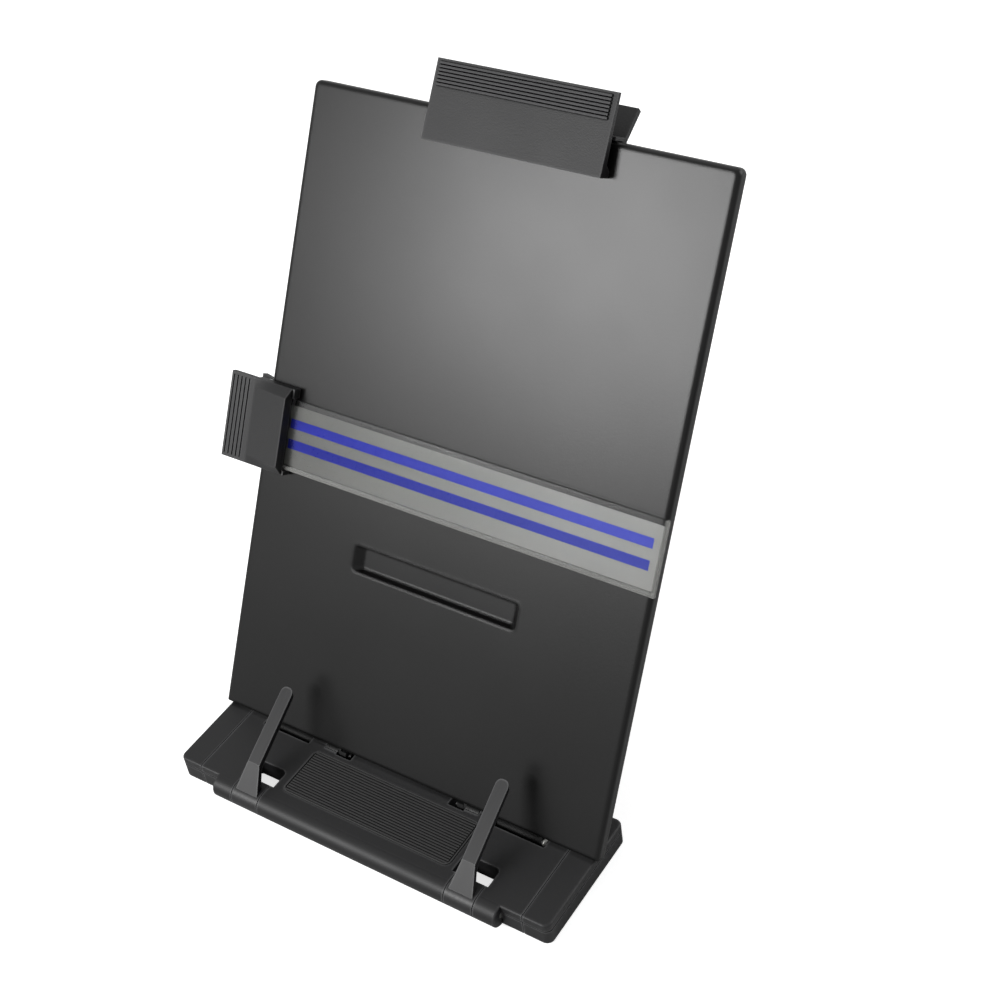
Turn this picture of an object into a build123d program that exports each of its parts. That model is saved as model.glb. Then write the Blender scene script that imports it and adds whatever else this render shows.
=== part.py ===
"""A4 desk copy holder with a line guide, in millimetres.

The origin is the middle of the base on the desk, X to the right, Y to the back and Z up.
A steel panel leans back on two friction hinges in a low moulded base and is propped by a leg.
"""
import os
from math import atan2, ceil, cos, degrees, pi, radians, sin, sqrt

from build123d import *

os.makedirs("parts", exist_ok=True)

# ---------------------------------------------------------------- driving sizes
# panel
panel_width = 210.0
panel_height = 298.0
panel_lean = 30.3
panel_foot_y = 6.15
panel_foot_z = 14.8
sheet = 0.8
flange_depth = 6.0
bend_radius = 2.0
panel_corner = 3.0
recess_length = 89.3
recess_height = 12.2
recess_bottom = 86.0
recess_depth = 4.0
recess_end_slope = 3.5
recess_wall_slope = 0.8

# base
pad_thick = 0.8
base_width = 206.0
base_depth = 64.0
base_height = 12.0
cap_width = 13.3
plan_corner = 3.5
top_edge = 1.2
seam_gap = 0.35
seam_deep = 0.5
wall = 2.0
deck_thick = 2.0
groove_above_desk = 8.3
groove_height = 0.8
groove_deep = 0.4
cover_thick = 1.6
cover_front_y = -22.0
screw_size = 3.0
screw_length = 8.0
screw_x = 83.0
screw_set_in = 4.0
rib_x = 20.0
rib_thick = 1.5
pad_half = 84.0
pad_front_y = -12.0
pad_rear_y = 27.0
pad_corner = 4.0
foot_x = 84.0
foot_y = -27.0
foot_pad_radius = 4.0
peg_half = 2.0
peg_length = 6.0
peg_spots = (-8.0, 16.0)

# front barrel, finger hubs and the holes behind them
barrel_radius = 6.0
barrel_half = 79.0
barrel_edge = 0.8
hub_middle = 60.0
hub_width = 15.5
hub_gap = 0.35
hub_seat_rear = 1.0
hole_inner_x = 50.3
hole_outer_x = 69.0
hole_front_y = -25.9
hole_rear_y = -15.5
hole_corner = 2.4
finger_pin_size = 3.0
finger_pin_inner_x = 46.0
finger_pin_end = 0.1
finger_root = (-35.5, 10.8)
finger_kink = (-25.0, 23.7)
finger_tip = (7.7, 43.3)
finger_thick = 3.0
finger_root_width = 13.4
finger_kink_width = 6.85
finger_tip_width = 6.5
finger_tip_round = 2.6
finger_tip_thick = 2.25
finger_root_thick = 4.5
stop_rib_top = 3.4
stop_rib_rear_y = -23.8
stop_rib_thick = 1.6
toe_middle = 57.0
toe_width = 5.0
toe_back = 0.4
toe_thick = 1.8
spring_room = 5.4
coil_gap = 0.45
coil_wire = 0.7
coil_radius = 2.35

# mat on the deck
mat_left = -46.0
mat_right = 47.5
mat_front_y = -25.3
mat_rear_y = 1.4
mat_corner = 3.0
mat_thick = 1.2
mat_inset = 0.7
mat_rim = 0.6
mat_rib_pitch = 1.4
mat_rib_width = 0.75
mat_rib_height = 0.45
mat_rib_end = 0.6

# friction hinges
hinge_y = 8.0
hinge_z = 9.8
bolt_size = 4.0
bolt_head_size = 7.0
bolt_head_thick = 2.2
bolt_head_edge = 1.0
nut_flats = 7.0
nut_thick = 3.2
bolt_tail = 1.7
ear_thick = 1.5
ear_radius = 3.3
ear_inner_x = 34.9
ear_outer_x = 76.5
leaf_bottom = 2.0
leaf_top = 13.0
leaf_thick = 1.2
knuckle_inner_x = 43.5
knuckle_outer_x = 52.0
knuckle_radius = 3.6
washer_size = 8.0
washer_count = 4
washer_gap = 0.1
slot_clear = 1.6
sleeve_size = 5.6
well_inner_x = 27.7
well_outer_x = 79.4
well_rear_y = 25.0
well_floor_z = 5.0
well_skin = 1.4

# prop behind the panel
pivot_up = 92.1
pivot_behind = 9.5
bracket_thick = 1.2
bracket_ear_radius = 4.2
prop_pin_size = 3.0
leg_foot_y = 125.5
leg_side_gap = 0.4
leg_half = 36.0
leg_thick = 4.4
leg_skin = 1.6
leg_rib = 2.0
leg_columns = 3
leg_window_width = 36.0
leg_window_height = 20.0
leg_window_up = 16.0
leg_window_corner = 5.0
foot_tongue_in = 3.0
foot_wall = 1.0
foot_radius = 2.6

# top clip and line guide
clip_middle = 4.7
clip_width = 88.0
clip_lip_below = 14.8
clip_top_above = 19.3
clip_top_off = 3.8
clip_lip_off = 6.9
clip_mid_off = 3.2
clip_plate_thick = 1.4
clip_lip_deep = 2.8
clip_lip_slope = 2.5
clip_cheek_set_in = 12.0
slider_cheek_set_in = 0.0
clip_rear_leg = -41.0
clip_front_leg = 17.0
clip_pivot_out = 5.0
clip_pivot_off = -3.8
slider_bottom = 119.5
slider_height = 41.0
slider_pivot_out = 4.6
slider_pivot_off = -5.0
slider_grip_out = 19.5
slider_box_out = 5.0
slider_box_in = 16.4
slider_arm_in = 17.7
slider_box_off = 9.5
slider_box_low_off = 5.7
slider_bevel = 4.2
slider_grip_off = 2.6
slider_plate_off = 5.0
slider_under_off = 0.6
slider_groove_count = 5
slider_groove_pitch = 2.3
slider_groove_in = 6.0
slider_groove_width = 0.6
slider_groove_end = 1.5
slider_groove_deep = 0.9
slider_mouth_gap = 0.6
slider_pin_out = 0.9
slider_wire = 0.8
slider_coil_radius = 1.9
slider_rear_leg = -30.0
slider_front_leg = 20.0
rod_size = 2.5
jaw_gap = 0.35
jaw_skin = 2.5
jaw_web = 1.5
jaw_reach = 14.0
jaw_toe = 9.1
jaw_toe_rise = 1.5
jaw_tip_rise = 5.5
jaw_step = 9.5
jaw_root = 7.6
jaw_front_gap = 0.2
jaw_behind = 10.1
clip_handle = (12.9, -17.2)
slider_handle = (16.4, -17.4)
slider_rear_bottom = 121.0
slider_rear_height = 37.0
lug_thick = 3.0
cheek_thick = 2.4
spring_wire = 1.0
spring_radius = 2.2
spring_turns = 3
wire_sides = 6
spring_leg = 9.5
clip_rib_count = 7
clip_rib_pitch = 1.5
clip_rib_width = 1.0
clip_rib_height = 0.8
clip_rib_set_in = 1.8
clip_rib_left = -37.5
clip_rib_right = 46.0
ruler_bottom = 122.2
ruler_height = 33.4
ruler_past_right = 2.0
ruler_past_left = 1.0
ruler_rear = 1.8
ruler_thick = 2.5
ruler_bevel = 3.0
ruler_low_bevel = 2.0
ruler_bevel_deep = 0.7
stripe_width = 4.5
stripe_end = 5.4
stripe_heights = (134.6, 144.2)
stripe_thick = 0.15

# fits
pin_fit = 0.05
seat_fit = 0.1
face_gap = 0.3

# ---------------------------------------------------------------- derived places
lean = radians(panel_lean)
lean_up = Vector(0, sin(lean), cos(lean))
lean_out = Vector(0, -cos(lean), sin(lean))
panel_foot = Vector(0, panel_foot_y, panel_foot_z)

base_bottom = pad_thick
base_top = pad_thick + base_height
half_depth = base_depth / 2
seam_x = base_width / 2 - cap_width
barrel_y = -half_depth
barrel_z = base_top - barrel_radius
hub_inner_x = hub_middle - hub_width / 2
hub_outer_x = hub_middle + hub_width / 2
finger_pin_outer_x = barrel_half - finger_pin_end

hinge_offset = Vector(0, hinge_y, hinge_z) - panel_foot
hinge_h = hinge_offset.dot(lean_up)
hinge_off = hinge_offset.dot(lean_out)
pivot_point = panel_foot + lean_up * pivot_up - lean_out * pivot_behind
bracket_half = leg_half + leg_side_gap + bracket_thick

left_edge_x = -panel_width / 2
slider_grip_x = left_edge_x - slider_grip_out
slider_box_left = left_edge_x - slider_box_out
slider_box_right = left_edge_x + slider_box_in
slider_arm_x = left_edge_x + slider_arm_in
ruler_left = left_edge_x - ruler_past_left
ruler_right = panel_width / 2 + ruler_past_right
stripe_right = ruler_right - stripe_end


def face_plane(off=0.0):
    """Plane of the panel's face: x across, y up the panel, off mm in front of it."""
    return Plane(origin=panel_foot + lean_out * off, x_dir=(1, 0, 0), z_dir=lean_out)


def side_plane(x=0.0):
    """Upright plane across the panel: its x runs up the panel and its y out of the face."""
    return Plane(origin=panel_foot + Vector(x, 0, 0), x_dir=lean_up, z_dir=(1, 0, 0))


def across_plane(h=0.0):
    """Plane square to the panel's height: its x runs across and its y out of the face."""
    return Plane(origin=panel_foot + lean_up * h, x_dir=(1, 0, 0), z_dir=lean_up * -1)


def polygon(points):
    """Closed outline through the given points, as a face of the sketch in hand."""
    with BuildLine() as outline:
        Polyline(*points, close=True)
    return make_face(outline.line)


def block(x_from, x_to, y_from, y_to, z_from, z_to, mode=Mode.ADD):
    """Square block between two corners, added to or cut from the part in hand."""
    with BuildSketch(Plane.XY.offset(z_from)) as outline:
        with Locations(((x_from + x_to) / 2, (y_from + y_to) / 2)):
            Rectangle(x_to - x_from, y_to - y_from)
    extrude(outline.sketch, amount=z_to - z_from, mode=mode)


def rod_x(y, z, radius, x_from, x_to, mode=Mode.ADD):
    """Round bar or bore along X."""
    with BuildSketch(Plane.YZ.offset(x_from)) as outline:
        with Locations((y, z)):
            Circle(radius)
    extrude(outline.sketch, amount=x_to - x_from, mode=mode)


def disc_on(plane, x, y, radius, depth, mode=Mode.ADD):
    """Round bar or bore standing on a plane."""
    with BuildSketch(plane) as outline:
        with Locations((x, y)):
            Circle(radius)
    extrude(outline.sketch, amount=depth, mode=mode)


def torsion_spring(at, wire, radius, turns, pitch, first_leg, last_leg, leg_length):
    """Wire coil about the plane's z axis; both straight legs leave it at the given angles.

    Each quarter turn or less is two tangent arcs that meet on the helix's own tangents.
    """
    start = radians(first_leg + 270)
    sweep_angle = (radians(first_leg + 270) - radians(last_leg + 90)) % (2 * pi) + 2 * pi * turns
    steps = ceil(sweep_angle / (pi / 2))
    rise = pitch * sweep_angle / (2 * pi)

    def spot(part_way):
        angle = start - sweep_angle * part_way
        flat = at.x_dir * (radius * cos(angle)) + at.y_dir * (radius * sin(angle))
        return at.origin + flat + at.z_dir * (rise * (part_way - 0.5))

    def heading(part_way):
        angle = start - sweep_angle * part_way
        flat = at.x_dir * (radius * sin(angle)) - at.y_dir * (radius * cos(angle))
        return (flat + at.z_dir * (pitch / (2 * pi))).normalized()

    with BuildLine() as route:
        Line(spot(0) - heading(0) * leg_length, spot(0))
        for step in range(steps):
            here, there = spot(step / steps), spot((step + 1) / steps)
            out, into = heading(step / steps), heading((step + 1) / steps)
            chord = there - here
            both = out + into
            square = 4 - both.dot(both)
            reach = (sqrt(chord.dot(both) ** 2 + square * chord.dot(chord)) - chord.dot(both)) / square
            meet = (here + there + (out - into) * reach) / 2
            TangentArc(here, meet, tangent=out)
            TangentArc(meet, there, tangent=there - into * reach - meet)
        Line(spot(1), spot(1) + heading(1) * leg_length)
    with BuildPart() as spring:
        with BuildSketch(Plane(origin=spot(0) - heading(0) * leg_length, z_dir=heading(0))) as section:
            RegularPolygon(wire / 2, wire_sides)
        sweep(section.sketch, path=route.wires()[0])
    print("least gap between turns", round(pitch - wire, 2))
    return spring.part


def span(side, near, far):
    """The two x of a stretch on the left (-1) or right (1) side, lower one first."""
    return sorted((side * near, side * far))


def write(piece, name):
    """Label one finished piece and write it."""
    piece.label = name
    export_step(piece, "parts/" + name + ".step")


def write_pair(piece, name):
    """Write a piece of the right side and its mirror image of the left side."""
    write(piece, name + "_right")
    write(mirror(piece, about=Plane.YZ), name + "_left")


# ---------------------------------------------------------------- base moulding
# Hollow from below. The barrel along its front edge carries the two finger hubs.
cover_half = seam_x - wall - seat_fit
cover_rear_y = half_depth - wall - seat_fit
screw_spots = [(x, y) for x in (-screw_x, screw_x)
               for y in (cover_front_y + screw_set_in, cover_rear_y - screw_set_in)]
well_front_y = hinge_y - nut_flats / 2 / cos(radians(30)) - face_gap
slot_front_y = hinge_y - ear_radius - slot_clear
washer_room = washer_size / 2 + face_gap
washer_front_y = hinge_y - sqrt(washer_room ** 2 - (base_top - hinge_z) ** 2)
ear_end_x = ear_inner_x + ear_thick
peg_z = base_bottom + base_height / 2
groove_top = groove_above_desk + groove_height

with BuildPart() as barrel:
    rod_x(barrel_y, barrel_z, barrel_radius, -barrel_half, barrel_half)
    fillet(barrel.edges().filter_by(GeomType.CIRCLE), radius=barrel_edge)

with BuildPart() as base_body:
    block(-seam_x, seam_x, -half_depth, half_depth, base_bottom, base_top)
    fillet(base_body.edges().filter_by(Axis.X).group_by(Axis.Z)[-1], radius=top_edge)
    # shadow line round the walls, then the barrel over it
    block(-seam_x, seam_x, -half_depth, groove_deep - half_depth, groove_above_desk, groove_top, Mode.SUBTRACT)
    block(-seam_x, seam_x, half_depth - groove_deep, half_depth, groove_above_desk, groove_top, Mode.SUBTRACT)
    add(barrel.part)
    # hollow under the deck, with its bosses, cross ribs and the walls round the holes and wells
    block(wall - seam_x, seam_x - wall, cover_front_y, half_depth - wall, base_bottom,
          base_top - deck_thick, Mode.SUBTRACT)
    for x, y in screw_spots:
        boss_plane = Plane.XY.offset(base_bottom + cover_thick)
        boss_rise = base_height - cover_thick - deck_thick / 2
        disc_on(boss_plane, x, y, screw_size, boss_rise)
        disc_on(boss_plane, x, y, screw_size / 2 - seat_fit, screw_length - cover_thick + 1, Mode.SUBTRACT)
    for x in (-rib_x, rib_x):
        block(x - rib_thick / 2, x + rib_thick / 2, cover_front_y - 1, half_depth - wall / 2,
              base_bottom + cover_thick, base_top - deck_thick / 2)
    for side in (-1, 1):
        block(*span(side, hole_inner_x - wall, hole_outer_x + wall), cover_front_y - 1, hole_rear_y + wall,
              base_bottom + cover_thick, base_top - deck_thick / 2)
        block(*span(side, well_inner_x - well_skin, well_outer_x + well_skin), well_front_y - well_skin,
              well_rear_y + well_skin, well_floor_z - well_skin, base_top - deck_thick / 2)
        for y in peg_spots:
            block(*span(side, seam_x - wall - peg_length, seam_x - wall / 2), y - 2 * peg_half, y + 2 * peg_half,
                  peg_z - 2 * peg_half, peg_z + 2 * peg_half)
    # pocket that the ribbed mat lies in
    with BuildSketch(Plane.XY.offset(base_top)):
        with Locations(((mat_left + mat_right) / 2, (mat_front_y + mat_rear_y) / 2)):
            RectangleRounded(mat_right - mat_left, mat_rear_y - mat_front_y, mat_corner)
    extrude(amount=-mat_inset, mode=Mode.SUBTRACT)
    for side in (-1, 1):
        # hub seat, the hole behind it and the rib that stops the finger
        block(*span(side, hub_inner_x, hub_outer_x), barrel_y - barrel_radius, barrel_y + barrel_radius + hub_seat_rear,
              0, base_top, Mode.SUBTRACT)
        with BuildSketch() as hole:
            with Locations((side * (hole_inner_x + hole_outer_x) / 2, (hole_front_y + hole_rear_y) / 2)):
                Rectangle(hole_outer_x - hole_inner_x, hole_rear_y - hole_front_y)
            fillet(hole.vertices().group_by(Axis.Y)[-1], radius=hole_corner)
        extrude(amount=base_top, mode=Mode.SUBTRACT)
        block(*span(side, hole_inner_x - 1, hole_outer_x + 1), stop_rib_rear_y - stop_rib_thick,
              stop_rib_rear_y, base_bottom, stop_rib_top)
        rod_x(barrel_y, barrel_z, finger_pin_size / 2 + pin_fit,
              *span(side, finger_pin_inner_x, barrel_half), Mode.SUBTRACT)
        # well for the hinge and the panel's foot: nut, washers, then the long slot with the knuckle
        block(*span(side, well_inner_x, ear_end_x), well_front_y, well_rear_y, well_floor_z, base_top,
              Mode.SUBTRACT)
        rod_x(hinge_y, hinge_z, washer_room, *span(side, ear_end_x, knuckle_inner_x), Mode.SUBTRACT)
        block(*span(side, ear_end_x, knuckle_inner_x), washer_front_y, well_rear_y, well_floor_z, base_top,
              Mode.SUBTRACT)
        block(*span(side, knuckle_inner_x, well_outer_x), slot_front_y, well_rear_y, well_floor_z, base_top,
              Mode.SUBTRACT)
        block(*span(side, knuckle_inner_x, knuckle_outer_x), slot_front_y - 1, hinge_y,
              well_floor_z - well_skin / 2, base_top)
        block(*span(side, knuckle_inner_x, knuckle_outer_x), hinge_y, hinge_y + knuckle_radius,
              well_floor_z - well_skin / 2, hinge_z)
        rod_x(hinge_y, hinge_z, knuckle_radius, *span(side, knuckle_inner_x, knuckle_outer_x))
        rod_x(hinge_y, hinge_z, bolt_size / 2 + pin_fit,
              *span(side, knuckle_inner_x - 1, knuckle_outer_x + 1), Mode.SUBTRACT)
        # sockets for the end cap's pegs
        for y in peg_spots:
            block(*span(side, seam_x - peg_length - seat_fit, seam_x), y - peg_half - pin_fit, y + peg_half + pin_fit,
                  peg_z - peg_half - pin_fit, peg_z + peg_half + pin_fit, Mode.SUBTRACT)
write(base_body.part, "base_body")

# ---------------------------------------------------------------- base cover, screws, pad and feet
hole_room = wall + seat_fit
with BuildPart() as base_cover:
    block(-cover_half, cover_half, cover_front_y + seat_fit, cover_rear_y, base_bottom, base_bottom + cover_thick)
    for side in (-1, 1):
        block(*span(side, hole_inner_x - hole_room, hole_outer_x + hole_room), cover_front_y, hole_rear_y
              + hole_room, base_bottom, base_bottom + cover_thick, Mode.SUBTRACT)
    with Locations(Plane.XY.offset(base_bottom) * Plane.XY.rotated((180, 0, 0))):
        with Locations([(x, -y) for x, y in screw_spots]):
            CounterSinkHole(screw_size / 2 + seat_fit, screw_size + seat_fit, counter_sink_angle=90)
write(base_cover.part, "base_cover")

with BuildPart() as cover_screws:
    for x, y in screw_spots:
        with BuildSketch(Plane(origin=(x, y, 0), x_dir=(1, 0, 0), z_dir=(0, -1, 0))):
            polygon([(0, base_bottom), (screw_size, base_bottom),
                     (screw_size / 2 - seat_fit, base_bottom + screw_size / 2 + seat_fit),
                     (screw_size / 2 - seat_fit, base_bottom + screw_length), (0, base_bottom + screw_length)])
        revolve(axis=Axis((x, y, 0), (0, 0, 1)))
write(cover_screws.part, "cover_screws")

with BuildPart() as nonslip_pad:
    with BuildSketch():
        with Locations((0, (pad_front_y + pad_rear_y) / 2)):
            RectangleRounded(2 * pad_half, pad_rear_y - pad_front_y, pad_corner)
    extrude(amount=pad_thick)
write(nonslip_pad.part, "nonslip_pad")

with BuildPart() as front_feet:
    for side in (-1, 1):
        disc_on(Plane.XY, side * foot_x, foot_y, foot_pad_radius, pad_thick)
write(front_feet.part, "front_feet")

# ---------------------------------------------------------------- end caps
with BuildPart() as end_cap:
    with BuildSketch(Plane.XY.offset(base_bottom)):
        with Locations((seam_x + cap_width / 2, 0)):
            Rectangle(cap_width, base_depth)
    extrude(amount=base_height)
    fillet(end_cap.edges().filter_by(Axis.Z).group_by(Axis.X)[-1], radius=plan_corner)
    top_rim = end_cap.faces().sort_by(Axis.Z)[-1].edges().group_by(Axis.X)
    fillet([e for group in top_rim[1:] for e in group], radius=top_edge)
    # shadow gap round the seam
    with BuildSketch(Plane.YZ.offset(seam_x)):
        Rectangle(2 * base_depth, 4 * base_height)
        with Locations((0, base_bottom + base_height / 2)):
            RectangleRounded(base_depth - 2 * seam_deep, base_height - 2 * seam_deep, top_edge - seam_deep,
                             mode=Mode.SUBTRACT)
    extrude(amount=seam_gap, mode=Mode.SUBTRACT)
    # shadow line round the three outside walls
    with BuildSketch(Plane.XY.offset(groove_above_desk)):
        with Locations((seam_x, 0)):
            Rectangle(2 * cap_width, base_depth)
        with Locations((seam_x, 0)):
            RectangleRounded(2 * (cap_width - groove_deep), base_depth - 2 * groove_deep, plan_corner,
                             mode=Mode.SUBTRACT)
        with Locations((seam_x - cap_width, 0)):
            Rectangle(2 * cap_width, 2 * base_depth, mode=Mode.SUBTRACT)
    extrude(amount=groove_height, mode=Mode.SUBTRACT)
    # hollow from below, with one cross rib
    with BuildSketch(Plane.XY.offset(base_bottom)):
        with Locations((seam_x + cap_width / 2, 0)):
            Rectangle(cap_width - 2 * wall, base_depth - 2 * wall)
        with Locations((seam_x + cap_width / 2, 0)):
            Rectangle(cap_width, rib_thick, mode=Mode.SUBTRACT)
    extrude(amount=base_height - wall, mode=Mode.SUBTRACT)
    for y in peg_spots:
        block(seam_x - peg_length, seam_x + wall / 2, y - peg_half, y + peg_half, peg_z - peg_half, peg_z + peg_half)
write_pair(end_cap.part, "end_cap")

# ---------------------------------------------------------------- ribbed rest mat
with BuildPart() as rest_mat:
    mat_floor = base_top - mat_inset
    mat_spot = ((mat_left + mat_right) / 2, (mat_front_y + mat_rear_y) / 2)
    mat_length = mat_right - mat_left - 2 * seat_fit
    mat_depth = mat_rear_y - mat_front_y - 2 * seat_fit
    with BuildSketch(Plane.XY.offset(mat_floor)):
        with Locations(mat_spot):
            RectangleRounded(mat_length, mat_depth, mat_corner - seat_fit)
    extrude(amount=mat_thick)
    with BuildSketch(Plane.XY.offset(mat_floor + mat_thick)):
        with Locations(mat_spot):
            RectangleRounded(mat_length - 2 * mat_rim, mat_depth - 2 * mat_rim, mat_corner - mat_rim)
    extrude(amount=-mat_rib_height, mode=Mode.SUBTRACT)
    rib_room = mat_depth - 2 * mat_rim
    rib_count = int(rib_room // mat_rib_pitch)
    with BuildSketch(Plane.XY.offset(mat_floor + mat_thick - mat_rib_height)):
        with Locations(mat_spot):
            with GridLocations(1, mat_rib_pitch, 1, rib_count):
                Rectangle(mat_length - 2 * mat_rim - 2 * mat_rib_end, mat_rib_width)
    extrude(amount=mat_rib_height)
write(rest_mat.part, "rest_mat")

# ---------------------------------------------------------------- fingers
# Each is a hub in the barrel with a bent arm: broad and steep at the root, then a long narrow blade.
lower_run = Vector(finger_kink[0] - finger_root[0], finger_kink[1] - finger_root[1], 0).normalized()
upper_run = Vector(finger_tip[0] - finger_kink[0], finger_tip[1] - finger_kink[1], 0).normalized()
lower_back = Vector(lower_run.Y, -lower_run.X, 0) * finger_thick
upper_back = Vector(upper_run.Y, -upper_run.X, 0) * finger_thick
bend_back = (lower_back + upper_back) * (finger_thick ** 2 / (finger_thick ** 2 + lower_back.dot(upper_back)))
tip_back = upper_back.normalized() * finger_tip_thick
root_back = lower_back.normalized() * finger_root_thick
with BuildPart() as finger:
    with BuildSketch(Plane.YZ.offset(hub_middle)):
        polygon([finger_root, finger_kink, finger_tip,
                 (finger_tip[0] + tip_back.X, finger_tip[1] + tip_back.Y),
                 (finger_kink[0] + bend_back.X, finger_kink[1] + bend_back.Y),
                 (finger_root[0] + root_back.X, finger_root[1] + root_back.Y), (barrel_y, barrel_z)])
    extrude(amount=finger_root_width / 2, both=True)
    with BuildSketch():
        polygon([(hub_middle - finger_root_width / 2, barrel_y - barrel_radius),
                 (hub_middle + finger_root_width / 2, barrel_y - barrel_radius),
                 (hub_middle + finger_root_width / 2, finger_root[0]),
                 (hub_middle + finger_kink_width / 2, finger_kink[0]),
                 (hub_middle + finger_tip_width / 2, finger_tip[0]),
                 (hub_middle - finger_tip_width / 2, finger_tip[0]),
                 (hub_middle - finger_kink_width / 2, finger_kink[0]),
                 (hub_middle - finger_root_width / 2, finger_root[0])])
    extrude(amount=finger_tip[1] + finger_thick, mode=Mode.INTERSECT)
    tip_edges = finger.faces().sort_by(Axis.Y)[-1].edges().group_by(Axis.X)
    fillet(tip_edges[0] + tip_edges[-1], radius=finger_tip_round)
    rod_x(barrel_y, barrel_z, barrel_radius, hub_inner_x + hub_gap, hub_outer_x - hub_gap)
    # tail that closes the deck behind the hub, and the toe below it that rests on the rib
    block(hub_inner_x + hub_gap, hub_outer_x - hub_gap, barrel_y, hole_front_y, barrel_z, base_top)
    block(toe_middle - toe_width / 2, toe_middle + toe_width / 2, barrel_y, stop_rib_rear_y - toe_back,
          stop_rib_top + seat_fit, stop_rib_top + toe_thick)
    rod_x(barrel_y, barrel_z, finger_pin_size / 2 + pin_fit, hub_inner_x, hub_outer_x, Mode.SUBTRACT)
    # counterbore in the hub's outer end for the return spring
    rod_x(barrel_y, barrel_z, coil_radius + coil_wire / 2 + face_gap,
          hub_outer_x - hub_gap - spring_room, hub_outer_x, Mode.SUBTRACT)
write_pair(finger.part, "finger")

with BuildPart() as finger_pin:
    rod_x(barrel_y, barrel_z, finger_pin_size / 2, finger_pin_inner_x, finger_pin_outer_x)
write_pair(finger_pin.part, "finger_pin")

# return spring on the pin, shut in the hub's counterbore, as the sleeve that its turns fill
spring_outer_x = hub_outer_x - hub_gap - face_gap
with BuildPart() as finger_spring:
    rod_x(barrel_y, barrel_z, coil_radius + coil_wire / 2, spring_outer_x - spring_room + 2 * face_gap, spring_outer_x)
    rod_x(barrel_y, barrel_z, coil_radius - coil_wire / 2, spring_outer_x - spring_room, spring_outer_x, Mode.SUBTRACT)
write_pair(finger_spring.part, "finger_spring")

# ---------------------------------------------------------------- friction hinges
# The knuckle is clamped on the bolt between a sleeve and a stack of friction washers.
outer_ear_x = ear_outer_x - ear_thick
with BuildPart() as hinge_leaf:
    for x in (ear_inner_x, outer_ear_x):
        with BuildSketch(side_plane(x)):
            with Locations((hinge_h, hinge_off)):
                Circle(ear_radius)
            with Locations(((leaf_bottom + leaf_top) / 2, -sheet - leaf_thick / 2)):
                Rectangle(leaf_top - leaf_bottom, leaf_thick)
            make_hull()
        extrude(amount=ear_thick)
    with BuildSketch(side_plane(ear_inner_x)):
        with Locations(((leaf_bottom + leaf_top) / 2, -sheet - leaf_thick / 2)):
            Rectangle(leaf_top - leaf_bottom, leaf_thick)
    extrude(amount=ear_outer_x - ear_inner_x)
    with BuildSketch(side_plane(ear_inner_x)):
        with Locations((hinge_h, hinge_off)):
            Circle(bolt_size / 2 + seat_fit)
    extrude(amount=ear_outer_x - ear_inner_x, mode=Mode.SUBTRACT)
write_pair(hinge_leaf.part, "hinge_leaf")

bolt_end_x = ear_inner_x - nut_thick - bolt_tail
with BuildPart() as hinge_bolt:
    rod_x(hinge_y, hinge_z, bolt_size / 2, bolt_end_x, ear_outer_x)
    rod_x(hinge_y, hinge_z, bolt_head_size / 2, ear_outer_x, ear_outer_x + bolt_head_thick)
    chamfer(hinge_bolt.edges().filter_by(GeomType.CIRCLE).group_by(Axis.X)[-1], bolt_head_edge)
write_pair(hinge_bolt.part, "hinge_bolt")

with BuildPart() as hinge_nut:
    with BuildSketch(side_plane(ear_inner_x - nut_thick)):
        with Locations((hinge_h, hinge_off)):
            RegularPolygon(nut_flats / 2, 6, major_radius=False)
            Circle(bolt_size / 2 + pin_fit, mode=Mode.SUBTRACT)
    extrude(amount=nut_thick)
write_pair(hinge_nut.part, "hinge_nut")

with BuildPart() as hinge_sleeve:
    with BuildSketch(Plane.YZ.offset(knuckle_outer_x + seat_fit)):
        with Locations((hinge_y, hinge_z)):
            Circle(sleeve_size / 2)
            Circle(bolt_size / 2 + pin_fit, mode=Mode.SUBTRACT)
    extrude(amount=outer_ear_x - knuckle_outer_x - seat_fit)
write_pair(hinge_sleeve.part, "hinge_sleeve")

washer_pitch = (knuckle_inner_x - seat_fit - ear_end_x) / washer_count
with BuildPart() as hinge_washers:
    for count in range(washer_count):
        with BuildSketch(Plane.YZ.offset(ear_end_x + count * washer_pitch)):
            with Locations((hinge_y, hinge_z)):
                Circle(washer_size / 2)
                Circle(bolt_size / 2 + seat_fit, mode=Mode.SUBTRACT)
        extrude(amount=washer_pitch - washer_gap)
write_pair(hinge_washers.part, "hinge_washers")

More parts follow.
